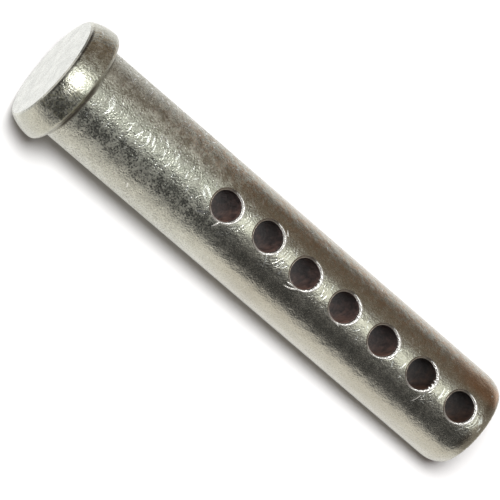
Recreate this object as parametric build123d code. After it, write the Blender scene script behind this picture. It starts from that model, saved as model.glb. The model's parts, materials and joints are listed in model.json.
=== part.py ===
from build123d import *
import math
import os

# A universal clevis pin: one headed steel pin with a row of cross holes, any of which
# takes a cotter or hitch pin. It stands on its head, with the origin at the centre of
# the head's outer face, +Z along the shank towards the free end, and the cross holes
# along Y.

# Driving dimensions, in millimetres

# shank
shank_diameter = 12.5
shank_length = 63.9  # from the underside of the head to the free end

# head
head_height = 3.95
head_overhang = 1.6  # how far the head's crown stands out past the shank, all round
head_rim_bulge = 0.85  # how far the crown stands out past the flat outer face
head_edge_break = 0.18  # where the outer face meets the rim
head_shoulder_radius = 0.85  # from the crown round to the underside
neck_radius = 0.35  # root fillet between the underside and the shank

# free end
mouth_land = 0.1  # plain shank left between the last hole's mouth and the lead
lead_drop = 0.75  # how far the curved lead has closed in by the free end, all round
end_radius = 0.45  # where the lead rounds over into the end face

# cross holes
hole_diameter = 3.7
hole_count = 7
hole_pitch = 6.35
last_hole_to_end = 4.5  # the last hole's axis to the free end
drifted_hole = 2  # counted from the head
hole_drift = 0.5  # how far the drifted hole lies off the centre line, towards -X
hole_edge_break = 0.3  # the mouths are broken by tumbling

# Derived dimensions

shank_radius = shank_diameter / 2
crown_radius = shank_radius + head_overhang
crown_height = head_height - head_shoulder_radius
face_radius = crown_radius - head_rim_bulge
end_height = head_height + shank_length
hole_radius = hole_diameter / 2
last_hole_height = end_height - last_hole_to_end
first_hole_height = last_hole_height - (hole_count - 1) * hole_pitch
lead_height = last_hole_height + hole_radius + hole_edge_break + mouth_land
lead_end_radius = shank_radius - lead_drop


def rim_middle():
    """The middle of the rim's barrel arc, which leaves the outer face's edge and runs
    parallel to the axis where it reaches the crown."""
    barrel_radius = (crown_height**2 + head_rim_bulge**2) / (2 * head_rim_bulge)
    half_turn = math.asin(crown_height / barrel_radius) / 2
    return (
        crown_radius - barrel_radius * (1 - math.cos(half_turn)),
        crown_height - barrel_radius * math.sin(half_turn),
    )


def nearest_corner(section, point):
    return section.vertices().sort_by_distance(point)[0]


def half_section():
    """The pin's half section in the XZ plane, as its distance from the axis and height."""
    shoulder_end = (crown_radius - head_shoulder_radius, head_height)
    neck = (shank_radius, head_height)
    lead_start = (shank_radius, lead_height)
    lead_end = (lead_end_radius, end_height)
    with BuildSketch(Plane.XZ) as section:
        with BuildLine():
            Line((0, 0), (face_radius, 0))
            ThreePointArc((face_radius, 0), rim_middle(), (crown_radius, crown_height))
            RadiusArc((crown_radius, crown_height), shoulder_end, -head_shoulder_radius)
            Polyline(shoulder_end, neck, lead_start)
            TangentArc(lead_start, lead_end, tangent=(0, 1))
            Polyline(lead_end, (0, end_height), (0, 0))
        make_face()
        chamfer(nearest_corner(section, (face_radius, 0)), head_edge_break)
        fillet(nearest_corner(section, neck), neck_radius)
        fillet(nearest_corner(section, lead_end), end_radius)
    return section.sketch


def hole_places():
    """The centre of each cross hole, on the shank's centre line but for the drifted one."""
    places = []
    for number in range(1, hole_count + 1):
        drift = hole_drift if number == drifted_hole else 0
        places.append((-drift, 0, first_hole_height + (number - 1) * hole_pitch))
    return places


def is_hole_wall(face):
    return face.geom_type == GeomType.CYLINDER and abs(face.radius - hole_radius) < 1e-6


def clevis_pin():
    """The half section turned about the axis, with its row of cross holes drilled through
    and their mouths broken."""
    with BuildPart() as pin:
        add(revolve(half_section(), axis=Axis.Z))
        with Locations(*hole_places()):
            Cylinder(hole_radius, 2 * shank_diameter, rotation=(90, 0, 0), mode=Mode.SUBTRACT)
        walls = pin.faces().filter_by(is_hole_wall)
        mouths = [edge for edge in walls.edges() if edge.geom_type != GeomType.LINE]
        chamfer(mouths, hole_edge_break)
    return pin.part


def main():
    os.makedirs("parts", exist_ok=True)
    export_step(clevis_pin(), "parts/clevis_pin.step")


main()
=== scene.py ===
import json
import math
import random

import bmesh
import bpy
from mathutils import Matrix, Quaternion, Vector


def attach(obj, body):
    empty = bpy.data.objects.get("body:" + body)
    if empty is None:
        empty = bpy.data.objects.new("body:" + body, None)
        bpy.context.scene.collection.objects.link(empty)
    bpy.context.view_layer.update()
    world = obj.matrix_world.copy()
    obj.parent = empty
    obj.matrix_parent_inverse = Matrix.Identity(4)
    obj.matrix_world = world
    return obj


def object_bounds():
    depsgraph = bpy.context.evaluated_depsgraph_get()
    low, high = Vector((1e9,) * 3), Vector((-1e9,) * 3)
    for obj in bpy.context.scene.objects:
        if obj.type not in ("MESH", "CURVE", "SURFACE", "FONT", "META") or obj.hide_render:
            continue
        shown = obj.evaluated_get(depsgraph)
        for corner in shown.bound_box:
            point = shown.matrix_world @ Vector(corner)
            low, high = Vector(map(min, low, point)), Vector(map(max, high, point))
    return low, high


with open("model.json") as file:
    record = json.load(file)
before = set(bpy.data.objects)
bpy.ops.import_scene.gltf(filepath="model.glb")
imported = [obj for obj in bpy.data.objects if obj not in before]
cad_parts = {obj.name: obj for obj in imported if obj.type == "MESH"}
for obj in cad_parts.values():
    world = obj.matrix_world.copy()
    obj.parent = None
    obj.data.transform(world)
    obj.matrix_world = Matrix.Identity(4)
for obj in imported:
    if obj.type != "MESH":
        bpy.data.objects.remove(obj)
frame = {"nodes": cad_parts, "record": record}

# A universal clevis pin in tumbled steel: one headed pin with a row of cross holes, laid
# against a white studio sheet. The pin's own solid carries the steel, and the burrs that
# the drill left round the hole mouths are pieces of their own.

MM = 0.001
CAD_LOW, CAD_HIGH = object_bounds()

PIN = "clevis_pin"
MOUNTS = {mount["name"]: mount for mount in frame["record"]["mounts"]}
HOLES = [MOUNTS[name] for name in sorted(MOUNTS) if name.startswith("cotter_hole_")]
HOLE_HEIGHTS = [hole["pos_m"][2] / MM for hole in HOLES]
HOLE_DRIFTS = [hole["pos_m"][0] / MM for hole in HOLES]
HOLE_RADIUS = HOLES[0]["dims"]["r_mm"]
SHANK_RADIUS = MOUNTS["shank"]["dims"]["r_mm"]
EDGE_BREAK = SHANK_RADIUS - HOLES[0]["dims"]["length_mm"] / 2
CROWN_RADIUS = CAD_HIGH.x / MM

# camera, in degrees and millimetres
VIEW_AZIMUTH = 10.59
VIEW_ELEVATION = -16.23
VIEW_DISTANCE = 517.16
VIEW_ROLL = 130.69
VIEW_LENS = 314.1
VIEW_TARGET = (1.013, 0.19, 32.655)
VIEW_CLIP = (0.01, 10.0)

# studio sheet: it touches the head's crown and the free end's edge
SHEET_AZIMUTH = -14.4
SHEET_SIZE = 600.0
CROWN_ALONG = 3.1
END_EDGE_ALONG, END_EDGE_RADIUS = 67.4, 5.7
SHEET_GREY, SHEET_GREY_SEEN = 0.42, 0.58

# lamps: azimuth, elevation, strength and spread
KEY_LAMP = (VIEW_AZIMUTH - 11.5, -15.7, 0.8, 20.0)
SOFT_LAMP = (SHEET_AZIMUTH + 8, -16.0, 2.8, 25.0)

# studio that metal mirrors: levels round the pin by the angle from the camera, then how far
# the low card, the high card and the dim lower wall reach by elevation
STUDIO_LEVEL = 1.3
STUDIO_SIDES = [
    (-180, 0.6), (-172, 0.34), (-166, 0.42), (-156, 0.66), (-144, 0.75), (-132, 0.67),
    (-108, (0.63, 0.62, 0.59)), (-92, (0.61, 0.59, 0.55)), (-82, (0.53, 0.51, 0.47)),
    (-76, 0.30), (-69, 0.11), (-62, 0.055), (-50, 0.04), (-34, 0.04), (-22, 0.075),
    (-11, 0.13), (-2, 0.24), (6, (0.53, 0.56, 0.52)), (14, (0.90, 0.94, 0.87)),
    (24, (0.95, 0.99, 0.92)), (32, (0.54, 0.56, 0.50)), (42, 0.25), (54, (0.15, 0.13, 0.105)),
    (74, (0.12, 0.097, 0.075)), (98, (0.115, 0.094, 0.073)), (112, 0.15), (122, 0.36),
    (134, 0.56), (150, 0.73), (166, 0.86)]
STUDIO_LOW = [(-90, 1.0), (-66, 1.0), (-58, 0.0)]
STUDIO_HIGH = [(48, 0.0), (64, 1.0)]
STUDIO_DIM = [(-60, 0.25), (-44, 0.3), (-32, 1.0)]
LOW_CARD = (1.1, 1.085, 1.05)
HIGH_CARD = (0.30, 0.29, 0.26)
BACK_CARD = (0.76, 0.76, 0.74)
# the back card starts and is full at these shares of a turn from the front, and of the way up
BACK_CARD_ROUND, BACK_CARD_DOWN = (0.33, 0.40), (0.49, 0.45)
PLAIN_LEVEL = (0.16, 0.125, 0.12)

# zones of the pin in millimetres, along it from the head's outer face or across it: a pair says
# where a zone starts and where it is full, and four numbers also say where it begins to end
BATTERED_ALONG = (31.0, 18.0)
DULLED_ALONG = (30.0, 19.0)
DRILLED_ALONG = (26.0, 34.0)
SHANK_ALONG = (3.6, 4.6)
RIM_ALONG = (4.0, 3.7)
SCUFFED_RIM_ALONG = (4.0, 3.6)
ROUND_ALONG = (0.1, 0.3, 67.1, 67.5)
PLAIN_ALONG = (22.0, 34.0)
NICKED_ALONG, NICKED_ACROSS = (4.6, 5.2), (3.4, 2.2)
SMALL_NICKS_ALONG = (26.0, 20.0)
FLANK_STAIN_ALONG, FLANK_STAIN_ACROSS = (8.0, 24.0), (-1.5, -4.5)
FLANK_STAIN_EDGE = (-6.0, -5.0)
NECK_LEFT, NECK_RIGHT = (-1.6, 0.6), (5.8, 4.6)
END_STAIN_ALONG, END_STAIN_ACROSS = (59.0, 64.0, 67.2, 67.6), (-5.4, -4.4, -3.4, -2.0)
END_SHADE_ALONG, END_SHADE_ACROSS = (65.7, 66.6, 67.4, 67.75), (-5.6, -4.2, 3.0, 4.4)
# the painted shade along the rounded edge of the head's face
FACE_EDGE_SHADE_ALONG, FACE_EDGE_SHADE_ACROSS = (0.5, 0.3), (-6.6, -5.2, 2.6, 4.6)
TARNISH_ACROSS = (0.6, 1.8, 4.9, 5.3)
RUST_ACROSS = (-6.7, -6.0, -5.0, -3.0)
LAST_BORES_SHADE_ALONG = (50.0, 57.0)
NEAR_SIDE = (3.0, -1.0)
# bands as their middle, where they start and where they are full on either side of it
NECK_BAND = (4.0, 0.6, 0.35)
DRILLED_BAND = (0.4, 2.2, 1.0)
# the dull band is rubbed steel, and also painted shade where the highlight falls
DULL_SHADE_BAND = (1.2, 3.4, 1.6)
FLANK_BAND = (-2.4, 1.8, 0.8)
FAR_TARNISH_BAND = (-3.2, 3.2, 2.4)
# how squarely a surface faces along the pin on the head's face, and on either end
HEAD_FACING = (-0.8, -0.95)
END_FACING = 0.8
# hole mouths, in millimetres out from the hole's edge: the bore's painted shade reaches so far over
# the edge on the free end's side, and the broken edge shows as a lip from start to full
BORE_REACH, BORE_SOFT = 0.13, 0.04
LIP_START, LIP_FULL = EDGE_BREAK + 0.06, EDGE_BREAK - 0.04
# the side of a hole where its lip's painted highlight starts and where it is brightest
LIT_SIDE = (-0.25, 0.7)

# the steel's colours, each as stops through its own clouds
BATTERED_STEEL = [(0.35, (0.75, 0.745, 0.655)), (0.65, (0.70, 0.69, 0.60))]
PLAIN_STEEL = [(0.35, (0.68, 0.655, 0.57)), (0.65, (0.64, 0.61, 0.52))]
# the head's face is paler than the shank: smoother steel, and partly a painted reflection
FACE_STEEL_AND_SHEEN = [(0.35, (0.80, 0.81, 0.79)), (0.6, (0.88, 0.885, 0.86))]
# inside the holes: mottled dark scale, deepened into painted shade and lighter towards +X where
# light falls on the walls
BORE_SCALE_AND_SHADE = [
    (0.3, (0.050, 0.032, 0.030)), (0.48, (0.16, 0.103, 0.092)), (0.7, (0.34, 0.205, 0.165))]
# and of what lies on it, with the painted shade, highlights and glints among them
# rubbed steel, darkened further as painted shade over the highlight
DULL_SKIN_AND_SHADE = (0.30, 0.31, 0.27)
DARK_PITS = (0.38, 0.36, 0.32)
FLANK_STAIN = (0.60, 0.435, 0.305)
# painted shade over the rounding at the free end
END_SHADE = (0.26, 0.21, 0.165)
END_STAIN = (0.64, 0.39, 0.235)
# painted shade in the corner where the shank meets the head
NECK_SHADE = (0.12, 0.10, 0.08)
SWIRL_GROOVES = (0.24, 0.22, 0.19)
TARNISH = (0.36, 0.345, 0.24)
RUST = (0.56, 0.44, 0.29)
# painted shade: a dark line along the rounded edge of the head's face
FACE_EDGE_SHADE = (0.12, 0.11, 0.10)
# marks, nicks and swirl ridges: bright cut metal, painted whiter than steel as glints
CUT_METAL_AND_GLINT = (1.0, 1.0, 0.97)
# a lip is painted shade towards the head, and a painted highlight on the free end's side, where the
# lamp catches the broken edge
LIP_SHADE = (0.46, 0.40, 0.34)
LIP_HIGHLIGHT = (0.97, 0.96, 0.93)
SCUFFED_BURR = (0.86, 0.84, 0.80)
# painted shade on a burr's side towards the head
BURR_HEADWARD_SHADE = (0.36, 0.31, 0.26)
# painted shade, deeper in the last two holes and at every hole's edge
LAST_BORES_SHADE = (0.42, 0.38, 0.32)
BORE_EDGE_SHADE = (0.04, 0.032, 0.03)

# how far the scuffs and the small nicks are drawn from the patterns that they shouldn't follow
APART_FROM_PEBBLE = (31.0, 17.0, 5.0)
APART_FROM_NICKS = (0.5, 0.7, 0.0)
# relief of the steel, in millimetres
PEBBLE_RELIEF = 0.064
GRIT_RELIEF, GRIT_RELIEF_LEAST = 0.022, 0.002
COARSE_RELIEF, COARSE_RELIEF_LEAST = 0.03, 0.05
NICK_DEPTH, SWIRL_DEPTH, SCRATCH_DEPTH = 0.008, 0.012, 0.005
BORE_RELIEF = 0.04
BURR_RELIEF = 0.03
# the blotches inside the bores are drawn out along them
BORE_STRETCH = (1.3, 0.45, 1.3)
# roughness of the bare skin from its lowest grit to its highest, then of each finish on it; a
# lip's runs from its painted-shade side to its painted-highlight one, a burr's from clean to
# scuffed
SKIN_ROUGH = (0.14, 0.27)
DULLED_ROUGH, FLANK_ROUGH, SCUFF_ROUGH, MARK_ROUGH = 0.25, 0.4, 0.56, 0.16
NECK_ROUGH, BORE_ROUGH = 0.6, 0.62
LIP_ROUGH, BURR_ROUGH = (0.4, 0.28), (0.25, 0.4)
# how much of each finish is bare metal
SCUFF_METAL, NECK_METAL, BURR_METAL, BORE_METAL = 0.8, 0.9, 0.7, 0.2
# how much the grit and the clouds darken and lighten the battered skin
GRIT_MOTTLE, CLOUD_MOTTLE = (0.90, 1.06), (0.93, 1.05)

# drill swirls: radians of ridge to a millimetre, and how far the ridges wander, in millimetres
SWIRL_TURNS, SWIRL_WANDER = 16.0, 0.9
# each one's hole, inner and outer gap from its edge, middle direction and half sweep
DRILL_SWIRLS = [
    (0, 0.55, 1.9, 1.5, 1.3), (1, 0.6, 2.2, 1.3, 1.2), (2, 0.7, 1.6, 1.2, 0.7),
    (5, 0.7, 2.0, 0.9, 0.7), (6, 0.4, 1.5, 1.2, 0.9)]
# struck marks: across and along the skin, turn in degrees, half length, half width, bow
STRUCK_MARKS = [
    (-0.68, 6.77, -41, 0.79, 0.2, 0.1), (0.5, 7.04, 9, 1.02, 0.19, 0.12),
    (2.58, 23.18, 55, 0.46, 0.18, 0.0), (0.04, 12.84, -20, 0.92, 0.17, 0.02),
    (-0.1, 13.5, -23, 0.7, 0.16, 0.0), (-1.04, 14.84, -54, 0.79, 0.17, 0.0),
    (-0.75, 16.93, -8, 0.69, 0.19, 0.1), (0.34, 11.55, 25, 0.77, 0.1, 0.05),
    (0.1, 22.4, -63, 0.96, 0.18, 0.0), (0.7, 22.2, -55, 0.64, 0.17, 0.0),
    (1.9, 33.1, -24, 1.3, 0.07, 0.05), (0.3, 60.5, -6, 0.9, 0.1, 0.1),
    (-0.25, 66.6, -8, 0.6, 0.24, 0.1), (-0.1, 60.9, -2, 0.6, 0.06, 0.1)]

# lips round the mouths, in millimetres: how far each one's torn teeth stand into its hole,
# as a share, then the half thickness all round, towards the free end and towards the head
LIP_TEETH = [0.1, 0.35, 0.6, 0.5, 0.5, 1.0, 0.4]
LIP_THIN, LIP_SWELL, LIP_ROLL = 0.014, 0.14, 0.05
# how deep a lip is set into the skin, and how high it stands for its half thickness
LIP_SET, LIP_HIGH = 0.02, 0.75
LIP_STEPS, LIP_SECTION = 144, 8
LIP_SEED = 40
# how many times round a mouth each wave of its raggedness and its torn teeth go, and the
# direction of the free end from it
LIP_WAVES = (2, 3, 5, 8, 13, 21)
TEETH_ROUND = 23
FREE_END = math.radians(90)
# slivers: hole, from and to as (degrees round the hole, reach), width, bow
SLIVERS = [
    (0, (18, 2.05), (4, 2.95), 0.26, 0.05), (1, (28, 2.06), (18, 2.3), 0.2, 0.03),
    (1, (128, 2.5), (146, 2.62), 0.22, 0.02), (2, (14, 2.08), (-24, 2.9), 0.22, 0.14),
    (2, (-6, 2.1), (-28, 2.45), 0.26, -0.04), (2, (222, 2.2), (232, 2.35), 0.16, 0.0),
    (3, (10, 2.1), (24, 2.4), 0.14, 0.02), (5, (40, 2.5), (20, 3.5), 0.10, 0.1)]
# how far a sliver's middle lies over the skin, and how high it stands for its half width
SLIVER_LIFT, SLIVER_HIGH = 0.01, 0.6
SLIVER_STEPS, SLIVER_SECTION = 14, 6


# Shader nodes

def feed(tree, socket, value):
    """Sets an input, or links another node's output to it."""
    if isinstance(value, bpy.types.NodeSocket):
        tree.links.new(value, socket)
    else:
        socket.default_value = value


def add_node(tree, kind, inputs=None, **settings):
    made = tree.nodes.new(kind)
    for name, value in settings.items():
        setattr(made, name, value)
    for key, value in (inputs or {}).items():
        feed(tree, made.inputs[key], value)
    return made


def calc(tree, operation, *values):
    return add_node(
        tree, "ShaderNodeMath", dict(enumerate(values)), operation=operation).outputs[0]


def calc_vector(tree, operation, *values):
    made = add_node(
        tree, "ShaderNodeVectorMath", dict(enumerate(values)), operation=operation)
    return made.outputs["Value" if operation == "LENGTH" else "Vector"]


def product(tree, *masks):
    """Masks multiplied together."""
    result = masks[0]
    for mask in masks[1:]:
        result = calc(tree, "MULTIPLY", result, mask)
    return result


def split(tree, vector):
    return add_node(tree, "ShaderNodeSeparateXYZ", {0: vector}).outputs


def join(tree, x, y, z):
    return add_node(tree, "ShaderNodeCombineXYZ", {0: x, 1: y, 2: z}).outputs[0]


def turn_round(tree, vector, angle):
    """A vector turned about Z."""
    return add_node(tree, "ShaderNodeVectorRotate", {"Vector": vector, "Angle": angle},
                    rotation_type="Z_AXIS").outputs[0]


def noise(tree, place, scale, detail, roughness=0.5):
    """Clouds from 0 to 1."""
    return add_node(tree, "ShaderNodeTexNoise", {
        "Vector": place, "Scale": scale, "Detail": detail, "Roughness": roughness}).outputs[0]


def fade(tree, value, start, end, low=0.0, high=1.0):
    """Goes smoothly from low, where the value is start, to high, where it is end."""
    return add_node(tree, "ShaderNodeMapRange", {0: value, 1: start, 2: end, 3: low, 4: high},
                    interpolation_type="SMOOTHSTEP").outputs[0]


def window(tree, value, start, full, last, end):
    """A mask that rises from start to full, and falls from last to end."""
    return product(tree, fade(tree, value, start, full), fade(tree, value, end, last))


def band(tree, value, middle, start, full, high=1.0):
    """A mask about a middle: from 0 at start away from it to high at full."""
    away = calc(tree, "ABSOLUTE", calc(tree, "SUBTRACT", value, middle))
    return fade(tree, away, start, full, 0.0, high)


def mix(tree, factor, first, second):
    """Two numbers mixed."""
    return add_node(tree, "ShaderNodeMix", {0: factor, 2: first, 3: second}).outputs[0]


def mix_colour(tree, factor, first, second, blend="MIX"):
    """Two colours mixed; each is a node's output, a colour or a grey."""
    made = add_node(tree, "ShaderNodeMix", data_type="RGBA", blend_type=blend)
    feed(tree, made.inputs[0], factor)
    for index, value in ((6, first), (7, second)):
        if not isinstance(value, bpy.types.NodeSocket):
            value = as_colour(value)
        feed(tree, made.inputs[index], value)
    return made.outputs[2]


def lay(tree, mixer, base, layers):
    """Lays (mask, strength, value) layers over a base, each over the ones before it."""
    for mask, strength, value in layers:
        if strength != 1.0:
            mask = calc(tree, "MULTIPLY", mask, strength)
        base = mixer(tree, mask, base, value)
    return base


def ramp(tree, factor, stops):
    """A colour ramp through (place, colour) stops."""
    made = add_node(tree, "ShaderNodeValToRGB", {0: factor})
    elements = made.color_ramp.elements
    while len(elements) > 1:
        elements.remove(elements[-1])
    elements[0].position, elements[0].color = stops[0][0], as_colour(stops[0][1])
    for place, colour in stops[1:]:
        elements.new(place).color = as_colour(colour)
    return made.outputs[0]


def as_colour(value):
    if isinstance(value, (int, float)):
        return (value, value, value, 1.0)
    return (*value, 1.0)


def new_group(name, inputs, outputs):
    """An empty node group with named sockets: its tree, inner inputs and inner outputs."""
    tree = bpy.data.node_groups.new(name, "ShaderNodeTree")
    for label, default in inputs.items():
        kind = "NodeSocketVector" if default is None else "NodeSocketFloat"
        socket = tree.interface.new_socket(name=label, in_out="INPUT", socket_type=kind)
        if default is not None:
            socket.default_value = default
    for label in outputs:
        tree.interface.new_socket(name=label, in_out="OUTPUT", socket_type="NodeSocketFloat")
    given = tree.nodes.new("NodeGroupInput").outputs
    return tree, given, tree.nodes.new("NodeGroupOutput").inputs


def place_group(tree, group, **inputs):
    made = add_node(tree, "ShaderNodeGroup", node_tree=group)
    for label, value in inputs.items():
        feed(tree, made.inputs[label], value)
    return made.outputs


# Finishes that are drawn by node groups

def pebble_group():
    """The fine pebbled skin that tumbling leaves, as a height from 0 to 1."""
    tree, given, result = new_group("tumbled_pebble", {"Place": None, "Size": 0.3}, ["Height"])
    scale = calc(tree, "DIVIDE", 1.0, given["Size"])
    feed(tree, result["Height"], noise(tree, given["Place"], scale, detail=1.2))
    return tree


def scuff_group():
    """Patches where the skin is rubbed dull, as a mask; Cover is the share of it they take."""
    inputs = {"Place": None, "Size": 0.3, "Cover": 0.4}
    tree, given, result = new_group("dull_scuffs", inputs, ["Mask"])
    scale = calc(tree, "DIVIDE", 1.0, given["Size"])
    place = calc_vector(tree, "ADD", given["Place"], APART_FROM_PEBBLE)
    clouds = noise(tree, place, scale, detail=4.0, roughness=0.7)
    edge = calc(tree, "MULTIPLY_ADD", given["Cover"], -0.32, 0.66)
    feed(tree, result["Mask"], fade(tree, clouds, edge, calc(tree, "ADD", edge, 0.1)))
    return tree


def bent_oval(tree, along, across, length, width, bow, full):
    """A mark that bends by its bow: 0 at its outline, and 1 where it is full."""
    bent = calc(tree, "MULTIPLY", calc(tree, "MULTIPLY", along, along), bow)
    across = calc(tree, "ADD", across, bent)
    reach = calc(tree, "POWER", calc(tree, "DIVIDE", along, length), 2.0)
    breadth = calc(tree, "POWER", calc(tree, "DIVIDE", across, width), 2.0)
    return fade(tree, calc(tree, "ADD", reach, breadth), 1.0, full)


def nick_group():
    """Short bent marks, each in its own cell and turned its own way, as a depth from 0 to 1."""
    inputs = {"Place": None, "Spacing": 1.5, "Length": 0.5, "Width": 0.08, "Bend": 0.5,
              "Share": 0.5, "Spread": 6.28}
    tree, given, result = new_group("scattered_nicks", inputs, ["Depth"])
    spacing = given["Spacing"]
    scaled = calc_vector(tree, "DIVIDE", given["Place"], join(tree, spacing, spacing, 1.0))
    cells = add_node(tree, "ShaderNodeTexVoronoi", {"Vector": scaled, "Scale": 1.0},
                     voronoi_dimensions="2D")
    chance = add_node(tree, "ShaderNodeSeparateColor", {0: cells.outputs["Color"]}).outputs
    offset = calc_vector(tree, "SUBTRACT", scaled, cells.outputs["Position"])
    angle = calc(tree, "MULTIPLY", calc(tree, "SUBTRACT", chance[0], 0.5), given["Spread"])
    along, across, _ = split(tree, turn_round(tree, offset, angle))
    along, across = (calc(tree, "MULTIPLY", part, spacing) for part in (along, across))
    length = calc(tree, "MULTIPLY", given["Length"], mix(tree, chance[2], 0.4, 1.2))
    shape = bent_oval(tree, along, across, length, given["Width"], given["Bend"], 0.4)
    kept = calc(tree, "LESS_THAN", chance[1], given["Share"])
    feed(tree, result["Depth"], calc(tree, "MULTIPLY", shape, kept))
    return tree


def mark_group():
    """One struck mark at a place on the unrolled skin, as a depth from 0 to 1."""
    inputs = {"Place": None, "Across": 0.0, "Along": 0.0, "Turn": 0.0, "Length": 0.5,
              "Width": 0.1, "Bow": 0.0}
    tree, given, result = new_group("struck_mark", inputs, ["Depth"])
    middle = join(tree, given["Across"], given["Along"], 0.0)
    offset = calc_vector(tree, "SUBTRACT", given["Place"], middle)
    along, across, _ = split(tree, turn_round(tree, offset, given["Turn"]))
    feed(tree, result["Depth"], bent_oval(
        tree, along, across, given["Length"], given["Width"], given["Bow"], 0.45))
    return tree


def from_hole(tree, x, z, hole_x, hole_z):
    """How far a point lies across, along and straight from a hole's middle."""
    across = calc(tree, "SUBTRACT", x, hole_x)
    along = calc(tree, "SUBTRACT", z, hole_z)
    return across, along, calc_vector(tree, "LENGTH", join(tree, across, along, 0.0))


def hole_row_group():
    """The nearest cross hole: how far its edge lies from a point, in millimetres, and the point's
    side of it, from -1 towards the head to 1 towards the free end."""
    tree, given, result = new_group("hole_row", {"Place": None}, ["Gap", "Side"])
    x, _, z = split(tree, given["Place"])
    nearest = nearest_side = None
    for height, drift in zip(HOLE_HEIGHTS, HOLE_DRIFTS):
        across, along, reach = from_hole(tree, x, z, drift, height)
        side = calc(tree, "DIVIDE", calc(tree, "MULTIPLY_ADD", across, 0.3, along), reach)
        if nearest is None:
            nearest, nearest_side = reach, side
        else:
            closer = calc(tree, "LESS_THAN", reach, nearest)
            nearest_side = mix(tree, closer, nearest_side, side)
            nearest = calc(tree, "MINIMUM", nearest, reach)
    feed(tree, result["Gap"], calc(tree, "SUBTRACT", nearest, HOLE_RADIUS))
    feed(tree, result["Side"], nearest_side)
    return tree


def swirl_group():
    """Arcs that a drill's collar rubbed round one hole: Depth is their bright ridges and Groove
    the dark lines between, each from 0 to 1."""
    inputs = {"Place": None, "Across": 0.0, "Along": 0.0, "Inner": 0.8, "Outer": 2.0,
              "Start": 0.0, "Sweep": 1.0}
    tree, given, result = new_group("drill_swirls", inputs, ["Depth", "Groove"])
    x, _, z = split(tree, given["Place"])
    across, along, reach = from_hole(tree, x, z, given["Across"], given["Along"])
    gap = calc(tree, "SUBTRACT", reach, HOLE_RADIUS)
    wander = noise(tree, given["Place"], scale=1.1, detail=1.0)
    wandered = calc(tree, "MULTIPLY_ADD", wander, SWIRL_WANDER, gap)
    wave = calc(tree, "SINE", calc(tree, "MULTIPLY", wandered, SWIRL_TURNS))
    inner_full = calc(tree, "ADD", given["Inner"], 0.2)
    outer_full = calc(tree, "SUBTRACT", given["Outer"], 0.3)
    collar = window(tree, gap, given["Inner"], inner_full, outer_full, given["Outer"])
    turn = calc(tree, "SUBTRACT", calc(tree, "ARCTAN2", along, across), given["Start"])
    sweep_full = calc(tree, "MULTIPLY", given["Sweep"], 0.6)
    arc = fade(tree, calc(tree, "ABSOLUTE", turn), given["Sweep"], sweep_full)
    unbroken = fade(tree, noise(tree, given["Place"], scale=1.7, detail=2.0), 0.42, 0.56)
    whole = product(tree, collar, arc, unbroken)
    feed(tree, result["Depth"], product(tree, whole, fade(tree, wave, -0.4, 1.0)))
    feed(tree, result["Groove"], product(tree, whole, fade(tree, wave, -0.2, -1.0)))
    return tree


PEBBLE = pebble_group()
SCUFFS = scuff_group()
NICKS = nick_group()
MARKS = mark_group()
HOLE_ROW = hole_row_group()
SWIRLS = swirl_group()


# Materials

def new_material(name):
    material = bpy.data.materials.new(name)
    material.use_nodes = True
    material.node_tree.nodes.clear()
    return material, material.node_tree


def pin_place(tree):
    """Where a point of the pin lies, in millimetres, and how much its skin faces along it."""
    given = add_node(tree, "ShaderNodeTexCoord").outputs
    scaled = add_node(tree, "ShaderNodeVectorMath", {0: given["Object"], "Scale": 1 / MM},
                      operation="SCALE")
    return scaled.outputs["Vector"], split(tree, given["Normal"])[2]


def add_metal_shader(tree, colour, rough, metal, height):
    """Ends a metal's tree; height is its relief in millimetres."""
    bump = add_node(tree, "ShaderNodeBump", {"Height": height, "Distance": MM, "Strength": 1.0})
    shader = add_node(tree, "ShaderNodeBsdfPrincipled", {
        "Base Color": colour, "Roughness": rough, "Metallic": metal, "Normal": bump.outputs[0]})
    add_node(tree, "ShaderNodeOutputMaterial", {"Surface": shader.outputs[0]})


def unrolled_skin(tree, place, facing):
    """The skin laid flat, across and along; an end face keeps its own x and y."""
    x, y, z = split(tree, place)
    flat = calc(tree, "GREATER_THAN", calc(tree, "ABSOLUTE", facing), END_FACING)
    turn = calc(tree, "ARCTAN2", x, calc(tree, "MULTIPLY", y, -1.0))
    unrolled = join(tree, calc(tree, "MULTIPLY", turn, SHANK_RADIUS), z, 0.0)
    return add_node(tree, "ShaderNodeMix", {0: flat, 4: unrolled, 5: place},
                    data_type="VECTOR").outputs[1]


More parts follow.
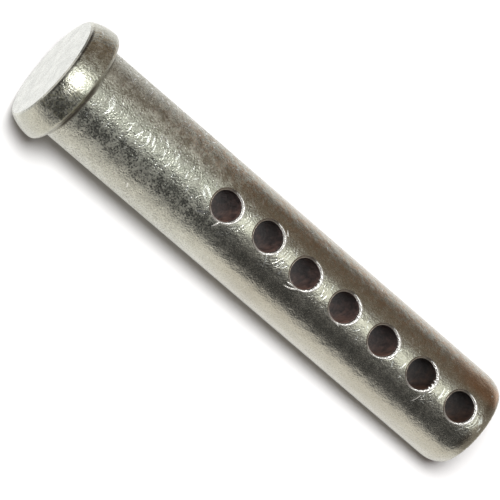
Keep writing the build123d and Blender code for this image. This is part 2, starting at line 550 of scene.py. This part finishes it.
def add_stains_and_shade(tree, place, on_side):
    """Masks of the stains, tarnish and rust, and of the painted shade in the neck's corner, along
    the head face's edge and over the free end, by name.
    """
    x, y, z = split(tree, place)
    near_side = fade(tree, y, *NEAR_SIDE, 0.3, 1.0)
    blots = place_group(tree, SCUFFS, Place=place, Size=0.6, Cover=0.62)["Mask"]
    tarnish = place_group(tree, SCUFFS, Place=place, Size=0.4, Cover=0.6)["Mask"]
    rim = product(tree, fade(tree, z, *RIM_ALONG), on_side, tarnish)
    near_tarnish = product(tree, rim, window(tree, x, *TARNISH_ACROSS))
    far_tarnish = product(tree, rim, band(tree, x, *FAR_TARNISH_BAND, 0.5))
    return {
        "flank_stain": product(
            tree, fade(tree, x, *FLANK_STAIN_ACROSS), on_side, blots, near_side,
            fade(tree, z, *FLANK_STAIN_ALONG, 0.1, 0.8),
            fade(tree, x, *FLANK_STAIN_EDGE, 0.3, 1.0)),
        "end_stain": product(
            tree, window(tree, z, *END_STAIN_ALONG), window(tree, x, *END_STAIN_ACROSS), near_side),
        # painted shade over the rounding at the free end
        "end_shade": product(
            tree, window(tree, z, *END_SHADE_ALONG), window(tree, x, *END_SHADE_ACROSS)),
        # painted shade in the corner where the shank meets the head, over a rougher finish
        "neck": product(
            tree, band(tree, z, *NECK_BAND), fade(tree, x, *NECK_RIGHT, 0.3, 1.0),
            fade(tree, x, *NECK_LEFT, 0.4, 1.0)),
        # painted shade: a dark line along the rounded edge of the head's face
        "face_edge_shade": product(
            tree, fade(tree, z, *FACE_EDGE_SHADE_ALONG), on_side, window(tree, x, *FACE_EDGE_SHADE_ACROSS)),
        "tarnish": calc(tree, "MAXIMUM", near_tarnish, far_tarnish),
        "rust": product(tree, rim, window(tree, x, *RUST_ACROSS))}


def add_marks(tree, place, skin):
    """Masks of all marks, and of the nicks, swirls, their grooves and the scratches alone."""
    x, _, z = split(tree, place)
    share = product(
        tree, fade(tree, z, *BATTERED_ALONG, 0.05, 0.6), fade(tree, z, *NICKED_ALONG, 0.1, 1.0),
        fade(tree, x, *NICKED_ACROSS, 0.05, 1.0))
    drilled = product(tree, fade(tree, z, *DRILLED_ALONG), band(tree, x, *DRILLED_BAND))
    share = calc(tree, "MULTIPLY_ADD", drilled, 0.9, share)
    nicks = place_group(tree, NICKS, Place=skin, Spacing=1.25, Length=0.56, Width=0.09,
                        Bend=0.25, Share=share, Spread=1.5)["Depth"]
    beside = calc_vector(tree, "ADD", skin, APART_FROM_NICKS)
    small_nicks = place_group(tree, NICKS, Place=beside, Spacing=0.8, Length=0.28, Width=0.055,
                              Bend=0.2, Share=share, Spread=2.2)["Depth"]
    small_nicks = product(tree, small_nicks, fade(tree, z, *SMALL_NICKS_ALONG, 0.5, 0.6))
    nicks = calc(tree, "MAXIMUM", nicks, small_nicks)
    for across, along, angle, length, width, bow in STRUCK_MARKS:
        mark = place_group(tree, MARKS, Place=skin, Across=across, Along=along,
                           Turn=math.radians(angle), Length=length, Width=width, Bow=bow)["Depth"]
        nicks = calc(tree, "MAXIMUM", nicks, mark)
    scratches = place_group(tree, NICKS, Place=skin, Spacing=4.2, Length=2.0, Width=0.05,
                            Bend=0.06, Share=0.12)["Depth"]
    swirls, grooves = 0.0, 0.0
    for index, inner, outer, start, sweep in DRILL_SWIRLS:
        arcs = place_group(
            tree, SWIRLS, Place=place, Across=HOLE_DRIFTS[index], Along=HOLE_HEIGHTS[index],
            Inner=inner, Outer=outer, Start=start, Sweep=sweep)
        swirls = calc(tree, "MAXIMUM", swirls, arcs["Depth"])
        grooves = calc(tree, "MAXIMUM", grooves, arcs["Groove"])
    faint = calc(tree, "MAXIMUM", product(tree, swirls, 0.5), product(tree, scratches, 0.2))
    marks = calc(tree, "MAXIMUM", nicks, faint)
    round_skin = window(tree, z, *ROUND_ALONG)
    marks, nicks, swirls, scratches = (
        product(tree, mask, round_skin) for mask in (marks, nicks, swirls, scratches))
    return marks, nicks, swirls, grooves, scratches


def add_steel_tint(tree, place, grit, head_face):
    """The bare steel's colour: paler where it is battered, and palest on the head's face, partly as
    a painted reflection.
    """
    z = split(tree, place)[2]
    clouds = noise(tree, place, scale=0.16, detail=3.0, roughness=0.6)
    face_clouds = noise(tree, place, scale=0.5, detail=4.0, roughness=0.65)
    tint = mix_colour(tree, fade(tree, z, *PLAIN_ALONG),
                      ramp(tree, clouds, BATTERED_STEEL), ramp(tree, clouds, PLAIN_STEEL))
    tint = mix_colour(tree, head_face, tint, ramp(tree, face_clouds, FACE_STEEL_AND_SHEEN))
    mottle = product(tree, fade(tree, grit, 0.35, 0.65, *GRIT_MOTTLE),
                     fade(tree, face_clouds, 0.35, 0.65, *CLOUD_MOTTLE))
    mottled = mix_colour(tree, 1.0, tint, join(tree, mottle, mottle, mottle), "MULTIPLY")
    return mix_colour(tree, fade(tree, z, *BATTERED_ALONG, 0.6, 1.0), tint, mottled)


def add_bore_shade(tree, place, gap, blotches):
    """The mottled scale inside the holes, painted dark as shade: lighter towards +X, where light
    falls on the walls, and darker in the last two and at every edge.
    """
    x, _, z = split(tree, place)
    tint = ramp(tree, calc(tree, "MULTIPLY_ADD", x, 0.1, blotches), BORE_SCALE_AND_SHADE)
    darker = mix_colour(tree, 1.0, tint, LAST_BORES_SHADE, "MULTIPLY")
    tint = mix_colour(tree, fade(tree, z, *LAST_BORES_SHADE_ALONG), tint, darker)
    return mix_colour(tree, fade(tree, gap, 0.0, 0.05), tint, BORE_EDGE_SHADE)


def steel_material():
    """Tumbled steel: battered and dull towards the head, smoother along the holes."""
    material, tree = new_material("tumbled_steel")
    place, facing = pin_place(tree)
    x, _, z = split(tree, place)
    head_face = fade(tree, facing, *HEAD_FACING)
    on_side = calc(tree, "SUBTRACT", 1.0, head_face)
    pebble, grit, coarse = (
        place_group(tree, PEBBLE, Place=place, Size=size)["Height"] for size in (0.22, 0.16, 1.0))

    worn = product(tree, fade(tree, z, *BATTERED_ALONG, 0.48, 1.0),
                   fade(tree, z, *SHANK_ALONG, 0.5, 1.0))
    worn = mix(tree, head_face, worn, 0.1)
    rubbed = product(tree, fade(tree, z, *DULLED_ALONG), fade(tree, z, *SHANK_ALONG))
    cover = product(tree, coarse, 1.2)
    scuff = place_group(tree, SCUFFS, Place=place, Size=0.2, Cover=cover)["Mask"]
    scuff = product(tree, scuff, calc(
        tree, "MULTIPLY_ADD", rubbed, 0.78, fade(tree, z, *SCUFFED_RIM_ALONG, 0.14, 0.5)))
    scuff = mix(tree, head_face, scuff, 0.05)
    # a dull band of rubbed steel that is also painted shade, dimming the highlight along it
    dull = product(tree, rubbed, band(tree, x, *DULL_SHADE_BAND, 0.52))
    flank = product(tree, rubbed, band(tree, x, *FLANK_BAND, 0.7))
    pits = product(tree, fade(tree, pebble, 0.48, 0.30, 0.0, 0.36), calc(tree, "ADD", rubbed, 1.0))
    stains = add_stains_and_shade(tree, place, on_side)
    marks, nicks, swirls, grooves, scratches = add_marks(
        tree, place, unrolled_skin(tree, place, facing))

    row = place_group(tree, HOLE_ROW, Place=place)
    gap, side = row["Gap"], row["Side"]
    # the bore's painted shade reaches over the mouth's edge on the free end's side
    bore_gap = calc(tree, "MULTIPLY_ADD", calc(tree, "MAXIMUM", side, 0.0), -BORE_REACH, gap)
    bore = fade(tree, bore_gap, BORE_SOFT, 0.0)
    lip = calc(tree, "SUBTRACT", fade(tree, gap, LIP_START, LIP_FULL), bore)
    # the lips carry painted light: a highlight on each mouth's free-end side, and painted shade on
    # the rest
    lit_side = fade(tree, calc(tree, "MULTIPLY_ADD", grit, 0.5, side), *LIT_SIDE)
    lip_highlight = product(tree, lip, lit_side)
    blotches = noise(tree, calc_vector(tree, "MULTIPLY", place, BORE_STRETCH),
                     scale=1.0, detail=3.0, roughness=0.6)

    colour = lay(tree, mix_colour, add_steel_tint(tree, place, grit, head_face), [
        (dull, 1.0, DULL_SKIN_AND_SHADE), (pits, 1.0, DARK_PITS),
        (stains["flank_stain"], 1.0, FLANK_STAIN), (stains["end_shade"], 0.6, END_SHADE),
        (stains["end_stain"], 0.75, END_STAIN), (stains["neck"], 0.92, NECK_SHADE),
        (grooves, 0.6, SWIRL_GROOVES), (stains["tarnish"], 0.65, TARNISH),
        (stains["rust"], 0.6, RUST), (stains["face_edge_shade"], 0.85, FACE_EDGE_SHADE),
        # the marks' white is bright cut metal, and partly painted glints
        (marks, 1.0, CUT_METAL_AND_GLINT), (lip, 1.0, LIP_SHADE), (lip_highlight, 1.0, LIP_HIGHLIGHT),
        (bore, 1.0, add_bore_shade(tree, place, gap, blotches))])
    rough = lay(tree, mix, fade(tree, grit, 0.3, 0.7, *SKIN_ROUGH), [
        (rubbed, 0.8, DULLED_ROUGH), (flank, 1.0, FLANK_ROUGH), (scuff, 1.0, SCUFF_ROUGH),
        (marks, 1.0, MARK_ROUGH), (lip, 1.0, mix(tree, lit_side, *LIP_ROUGH)),
        (stains["neck"], 1.0, NECK_ROUGH), (bore, 1.0, BORE_ROUGH)])
    metal = lay(tree, mix, 1.0, [
        (scuff, 1.0, SCUFF_METAL), (marks, 1.0, 1.0), (stains["neck"], 0.8, NECK_METAL),
        (lip_highlight, 1.0, BURR_METAL), (bore, 1.0, BORE_METAL)])

    height = product(tree, pebble, product(tree, worn, PEBBLE_RELIEF))
    for pattern, amount in (
            (grit, calc(tree, "MULTIPLY_ADD", worn, GRIT_RELIEF, GRIT_RELIEF_LEAST)),
            (coarse, calc(tree, "MULTIPLY_ADD", worn, COARSE_RELIEF, COARSE_RELIEF_LEAST)),
            (nicks, -NICK_DEPTH), (swirls, -SWIRL_DEPTH), (scratches, -SCRATCH_DEPTH),
            (product(tree, bore, blotches), BORE_RELIEF)):
        height = calc(tree, "ADD", height, product(tree, pattern, amount))
    add_metal_shader(tree, colour, rough, metal, height)
    return material


def burr_material():
    """The raised metal that a drill leaves round its hole, painted bright as a highlight, with
    painted shade towards the head.
    """
    material, tree = new_material("drilled_burr")
    place, _ = pin_place(tree)
    grit = place_group(tree, PEBBLE, Place=place, Size=0.16)["Height"]
    scuff = place_group(tree, SCUFFS, Place=place, Size=0.25, Cover=0.5)["Mask"]
    side = place_group(tree, HOLE_ROW, Place=place)["Side"]
    # a burr is painted bright as a highlight, greyer where scuffed, and painted shade towards the
    # head
    colour = mix_colour(tree, scuff, LIP_HIGHLIGHT, SCUFFED_BURR)
    colour = mix_colour(tree, fade(tree, side, -0.1, -0.6), colour, BURR_HEADWARD_SHADE)
    rough = mix(tree, scuff, *BURR_ROUGH)
    add_metal_shader(tree, colour, rough, BURR_METAL, product(tree, grit, BURR_RELIEF))
    return material


def sheet_material():
    """White on the side that the pin lies on, and clear from behind."""
    material, tree = new_material("studio_sheet")
    seen = add_node(tree, "ShaderNodeLightPath").outputs["Is Camera Ray"]
    white = add_node(tree, "ShaderNodeBsdfDiffuse", {
        "Color": mix_colour(tree, seen, SHEET_GREY, SHEET_GREY_SEEN)})
    clear = add_node(tree, "ShaderNodeBsdfTransparent")
    behind = add_node(tree, "ShaderNodeNewGeometry").outputs["Backfacing"]
    shown = add_node(tree, "ShaderNodeMixShader", {
        0: behind, 1: white.outputs[0], 2: clear.outputs[0]})
    add_node(tree, "ShaderNodeOutputMaterial", {"Surface": shown.outputs[0]})
    return material


# Burrs

def link(thing):
    bpy.context.scene.collection.objects.link(thing)
    return thing


def on_shank(across, along, side, lift):
    """A point over the shank's skin; side is -1 for the -Y mouths and 1 for the others."""
    reach = SHANK_RADIUS + lift
    return Vector((across, side * math.sqrt(reach * reach - across * across), along)) * MM


def add_tube(name, material, rings, closed):
    """A piece whose skin runs through rings of points; an open one has flat ends."""
    skin = bmesh.new()
    rings = [[skin.verts.new(point) for point in ring] for ring in rings]
    following_rings = rings[1:] + rings[:1] if closed else rings[1:]
    for ring, following in zip(rings, following_rings):
        for j in range(len(ring)):
            skin.faces.new((ring[j], ring[j - 1], following[j - 1], following[j])).smooth = True
    if not closed:
        skin.faces.new(rings[0])
        skin.faces.new(rings[-1])
    bmesh.ops.recalc_face_normals(skin, faces=skin.faces)
    mesh = bpy.data.meshes.new(name)
    skin.to_mesh(mesh)
    skin.free()
    mesh.materials.append(material)
    piece = link(bpy.data.objects.new(name, mesh))
    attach(piece, "root")


def add_lip(name, material, across, along, side, seed, teeth):
    """A rolled lip round one mouth: thick towards the free end, thin towards the head."""
    chance = random.Random(seed)
    waves = [(count, chance.uniform(0.05, 0.28) / count ** 0.5, chance.uniform(0, math.tau))
             for count in LIP_WAVES]
    teeth_phase = chance.uniform(0, math.tau)
    rings = []
    for i in range(LIP_STEPS):
        angle = math.tau * i / LIP_STEPS
        ragged = sum(size * math.sin(count * angle + phase) for count, size, phase in waves)
        turn = math.cos(angle - FREE_END)
        swell, roll = max(0.0, turn) ** 0.8, max(0.0, -turn) ** 0.8
        half = LIP_THIN + (LIP_SWELL * swell + LIP_ROLL * roll) * max(0.25, 1 + ragged)
        middle = HOLE_RADIUS + EDGE_BREAK * (0.6 + 0.4 * turn) + 0.4 * swell * half
        low = min(0.0, middle - HOLE_RADIUS - EDGE_BREAK) - LIP_SET + 0.2 * half
        tooth = teeth * swell * (1 + 2 * ragged) * (
            0.55 + 0.45 * math.sin(TEETH_ROUND * angle + teeth_phase + 2 * ragged))
        torn = max(0.3, 1 + 0.8 * ragged + 2.2 * tooth)
        ring = []
        for j in range(LIP_SECTION):
            slope = math.tau * j / LIP_SECTION
            inward = math.cos(slope) <= -0.1
            reach = middle + half * math.cos(slope) * (torn if inward else 1.0)
            lift = low + LIP_HIGH * half * math.sin(slope)
            ring.append(on_shank(
                across + reach * math.cos(angle), along + reach * math.sin(angle), side, lift))
        rings.append(ring)
    add_tube(name, material, rings, True)


def add_sliver(name, material, across, along, side, start, end, width, bow):
    """A torn sliver lying on the skin, from one (angle, reach) about a hole to another."""
    first, last = (
        Vector((reach * math.cos(math.radians(angle)), reach * math.sin(math.radians(angle))))
        for angle, reach in (start, end))
    run = last - first
    sideways = Vector((-run.y, run.x)).normalized()
    rings = []
    for i in range(SLIVER_STEPS + 1):
        t = i / SLIVER_STEPS
        middle = first + run * t + sideways * bow * math.sin(math.pi * t)
        half = width / 2 * max(0.12, math.sin(math.pi * (0.12 + 0.86 * t)) ** 0.8)
        ring = []
        for j in range(SLIVER_SECTION):
            slope = math.tau * j / SLIVER_SECTION
            spot = middle + sideways * half * math.cos(slope)
            lift = SLIVER_LIFT + SLIVER_HIGH * half * math.sin(slope)
            ring.append(on_shank(across + spot.x, along + spot.y, side, lift))
        rings.append(ring)
    add_tube(name, material, rings, False)


def add_burrs():
    material = burr_material()
    for index, (along, across, teeth) in enumerate(zip(HOLE_HEIGHTS, HOLE_DRIFTS, LIP_TEETH)):
        for side, place in ((-1, "front"), (1, "back")):
            seed = LIP_SEED + index * 2 + side
            add_lip("%s_lip_%d" % (place, index + 1), material, across, along, side, seed, teeth)
    for number, (index, start, end, width, bow) in enumerate(SLIVERS):
        add_sliver("sliver_%d" % (number + 1), material, HOLE_DRIFTS[index], HOLE_HEIGHTS[index],
                   -1, start, end, width, bow)


# Studio

def direction(azimuth, elevation):
    """A unit vector; azimuth 0 points along -Y and 90 along +X."""
    a, e = math.radians(azimuth), math.radians(elevation)
    return Vector((math.sin(a) * math.cos(e), -math.cos(a) * math.cos(e), math.sin(e)))


def add_camera():
    back = direction(VIEW_AZIMUTH, VIEW_ELEVATION)
    data = bpy.data.cameras.new("camera")
    data.lens = VIEW_LENS
    data.clip_start, data.clip_end = VIEW_CLIP
    camera = link(bpy.data.objects.new("camera", data))
    camera.location = (Vector(VIEW_TARGET) + back * VIEW_DISTANCE) * MM
    camera.rotation_mode = "QUATERNION"
    upright = (-back).to_track_quat("-Z", "Y")
    camera.rotation_quaternion = upright @ Quaternion((0, 0, 1), math.radians(VIEW_ROLL))
    bpy.context.scene.camera = camera


def add_sun(name, azimuth, elevation, strength, spread, on_metal):
    """A lamp that only metal sees, or only matt surfaces."""
    data = bpy.data.lights.new(name, "SUN")
    data.energy, data.angle = strength, math.radians(spread)
    lamp = link(bpy.data.objects.new(name, data))
    lamp.rotation_mode = "QUATERNION"
    lamp.rotation_quaternion = direction(azimuth, elevation).to_track_quat("Z", "Y")
    lamp.visible_glossy = on_metal
    lamp.visible_diffuse = not on_metal
    return lamp


def light_only(lamp, thing):
    """The lamp reaches nothing but the thing, on which the pin still casts its shadow."""
    lit = bpy.data.collections.new("lit_by_" + lamp.name)
    lit.objects.link(thing)
    lamp.light_linking.receiver_collection = lit


def add_sheet():
    """The flat sheet that the pin lies on, by its head's crown and its free end's edge."""
    lean = math.asin((CROWN_RADIUS - END_EDGE_RADIUS) / (END_EDGE_ALONG - CROWN_ALONG))
    facing = direction(SHEET_AZIMUTH, 0)
    normal = (facing * math.cos(lean) + Vector((0, 0, 1)) * -math.sin(lean)).normalized()
    touch = -facing * CROWN_RADIUS + Vector((0, 0, CROWN_ALONG))
    across = normal.cross(Vector((0, 0, 1))).normalized()
    up = across.cross(normal)
    half = SHEET_SIZE / 2
    corners = [touch + across * i * half + up * j * half
               for i, j in ((-1, -1), (1, -1), (1, 1), (-1, 1))]
    mesh = bpy.data.meshes.new("studio_sheet")
    mesh.from_pydata([corner * MM for corner in corners], [], [(0, 1, 2, 3)])
    if mesh.polygons[0].normal.dot(normal) < 0:
        mesh.flip_normals()
    mesh.materials.append(sheet_material())
    sheet = link(bpy.data.objects.new("studio_sheet", mesh))
    sheet.visible_glossy = False
    return sheet


def add_angle_ramp(tree, factor, rows, start, sweep):
    """A ramp through (degrees, colour) rows, for a factor that sweeps so far from the start."""
    return ramp(tree, factor, [((angle - start) / sweep, colour) for angle, colour in rows])


def add_world():
    """White to the camera; metal sees the studio's light and dark sides; matt surfaces see a
    plain grey."""
    world = bpy.data.worlds.new("studio")
    bpy.context.scene.world = world
    world.use_nodes = True
    world.cycles.sampling_method = "NONE"
    tree = world.node_tree
    tree.nodes.clear()
    seen = add_node(tree, "ShaderNodeTexCoord").outputs["Generated"]
    x, y, z = split(tree, turn_round(tree, seen, -math.radians(VIEW_AZIMUTH)))
    around = calc(tree, "ARCTAN2", calc(tree, "MULTIPLY", x, -1.0), calc(tree, "MULTIPLY", y, -1.0))
    around = calc(tree, "MULTIPLY_ADD", around, 0.5 / math.pi, 0.5)
    height = calc(tree, "MULTIPLY_ADD", calc(tree, "ARCSINE", z), 1 / math.pi, 0.5)
    sides = add_angle_ramp(tree, around, STUDIO_SIDES, -180, 360)
    low, high, dim = (add_angle_ramp(tree, height, rows, -90, 180)
                      for rows in (STUDIO_LOW, STUDIO_HIGH, STUDIO_DIM))
    behind = calc(tree, "ABSOLUTE", calc(tree, "SUBTRACT", around, 0.5))
    below = product(tree, fade(tree, behind, *BACK_CARD_ROUND), fade(tree, height, *BACK_CARD_DOWN))
    studio = mix_colour(tree, below, sides, BACK_CARD)
    studio = mix_colour(tree, 1.0, studio, dim, "MULTIPLY")
    studio = mix_colour(tree, low, studio, LOW_CARD)
    studio = mix_colour(tree, high, studio, HIGH_CARD)
    studio = mix_colour(tree, 1.0, studio, STUDIO_LEVEL, "MULTIPLY")
    path = add_node(tree, "ShaderNodeLightPath").outputs
    shiny = calc(tree, "MAXIMUM", path["Is Glossy Ray"], path["Is Transmission Ray"])
    shown = mix_colour(tree, shiny, PLAIN_LEVEL, studio)
    shown = mix_colour(tree, path["Is Camera Ray"], shown, 1.0)
    light = add_node(tree, "ShaderNodeBackground", {"Color": shown, "Strength": 1.0})
    add_node(tree, "ShaderNodeOutputWorld", {"Surface": light.outputs[0]})


def main():
    steel = steel_material()
    for material_slot in frame["nodes"][PIN].material_slots:
        material_slot.material = steel
    add_burrs()
    add_camera()
    sheet = add_sheet()
    add_world()
    add_sun("key_lamp", *KEY_LAMP, True)
    add_sun("soft_lamp", *SOFT_LAMP, False)
    light_only(add_sun("sheet_lamp", *SOFT_LAMP, False), sheet)
    bpy.context.scene.view_settings.view_transform = "Standard"


main()
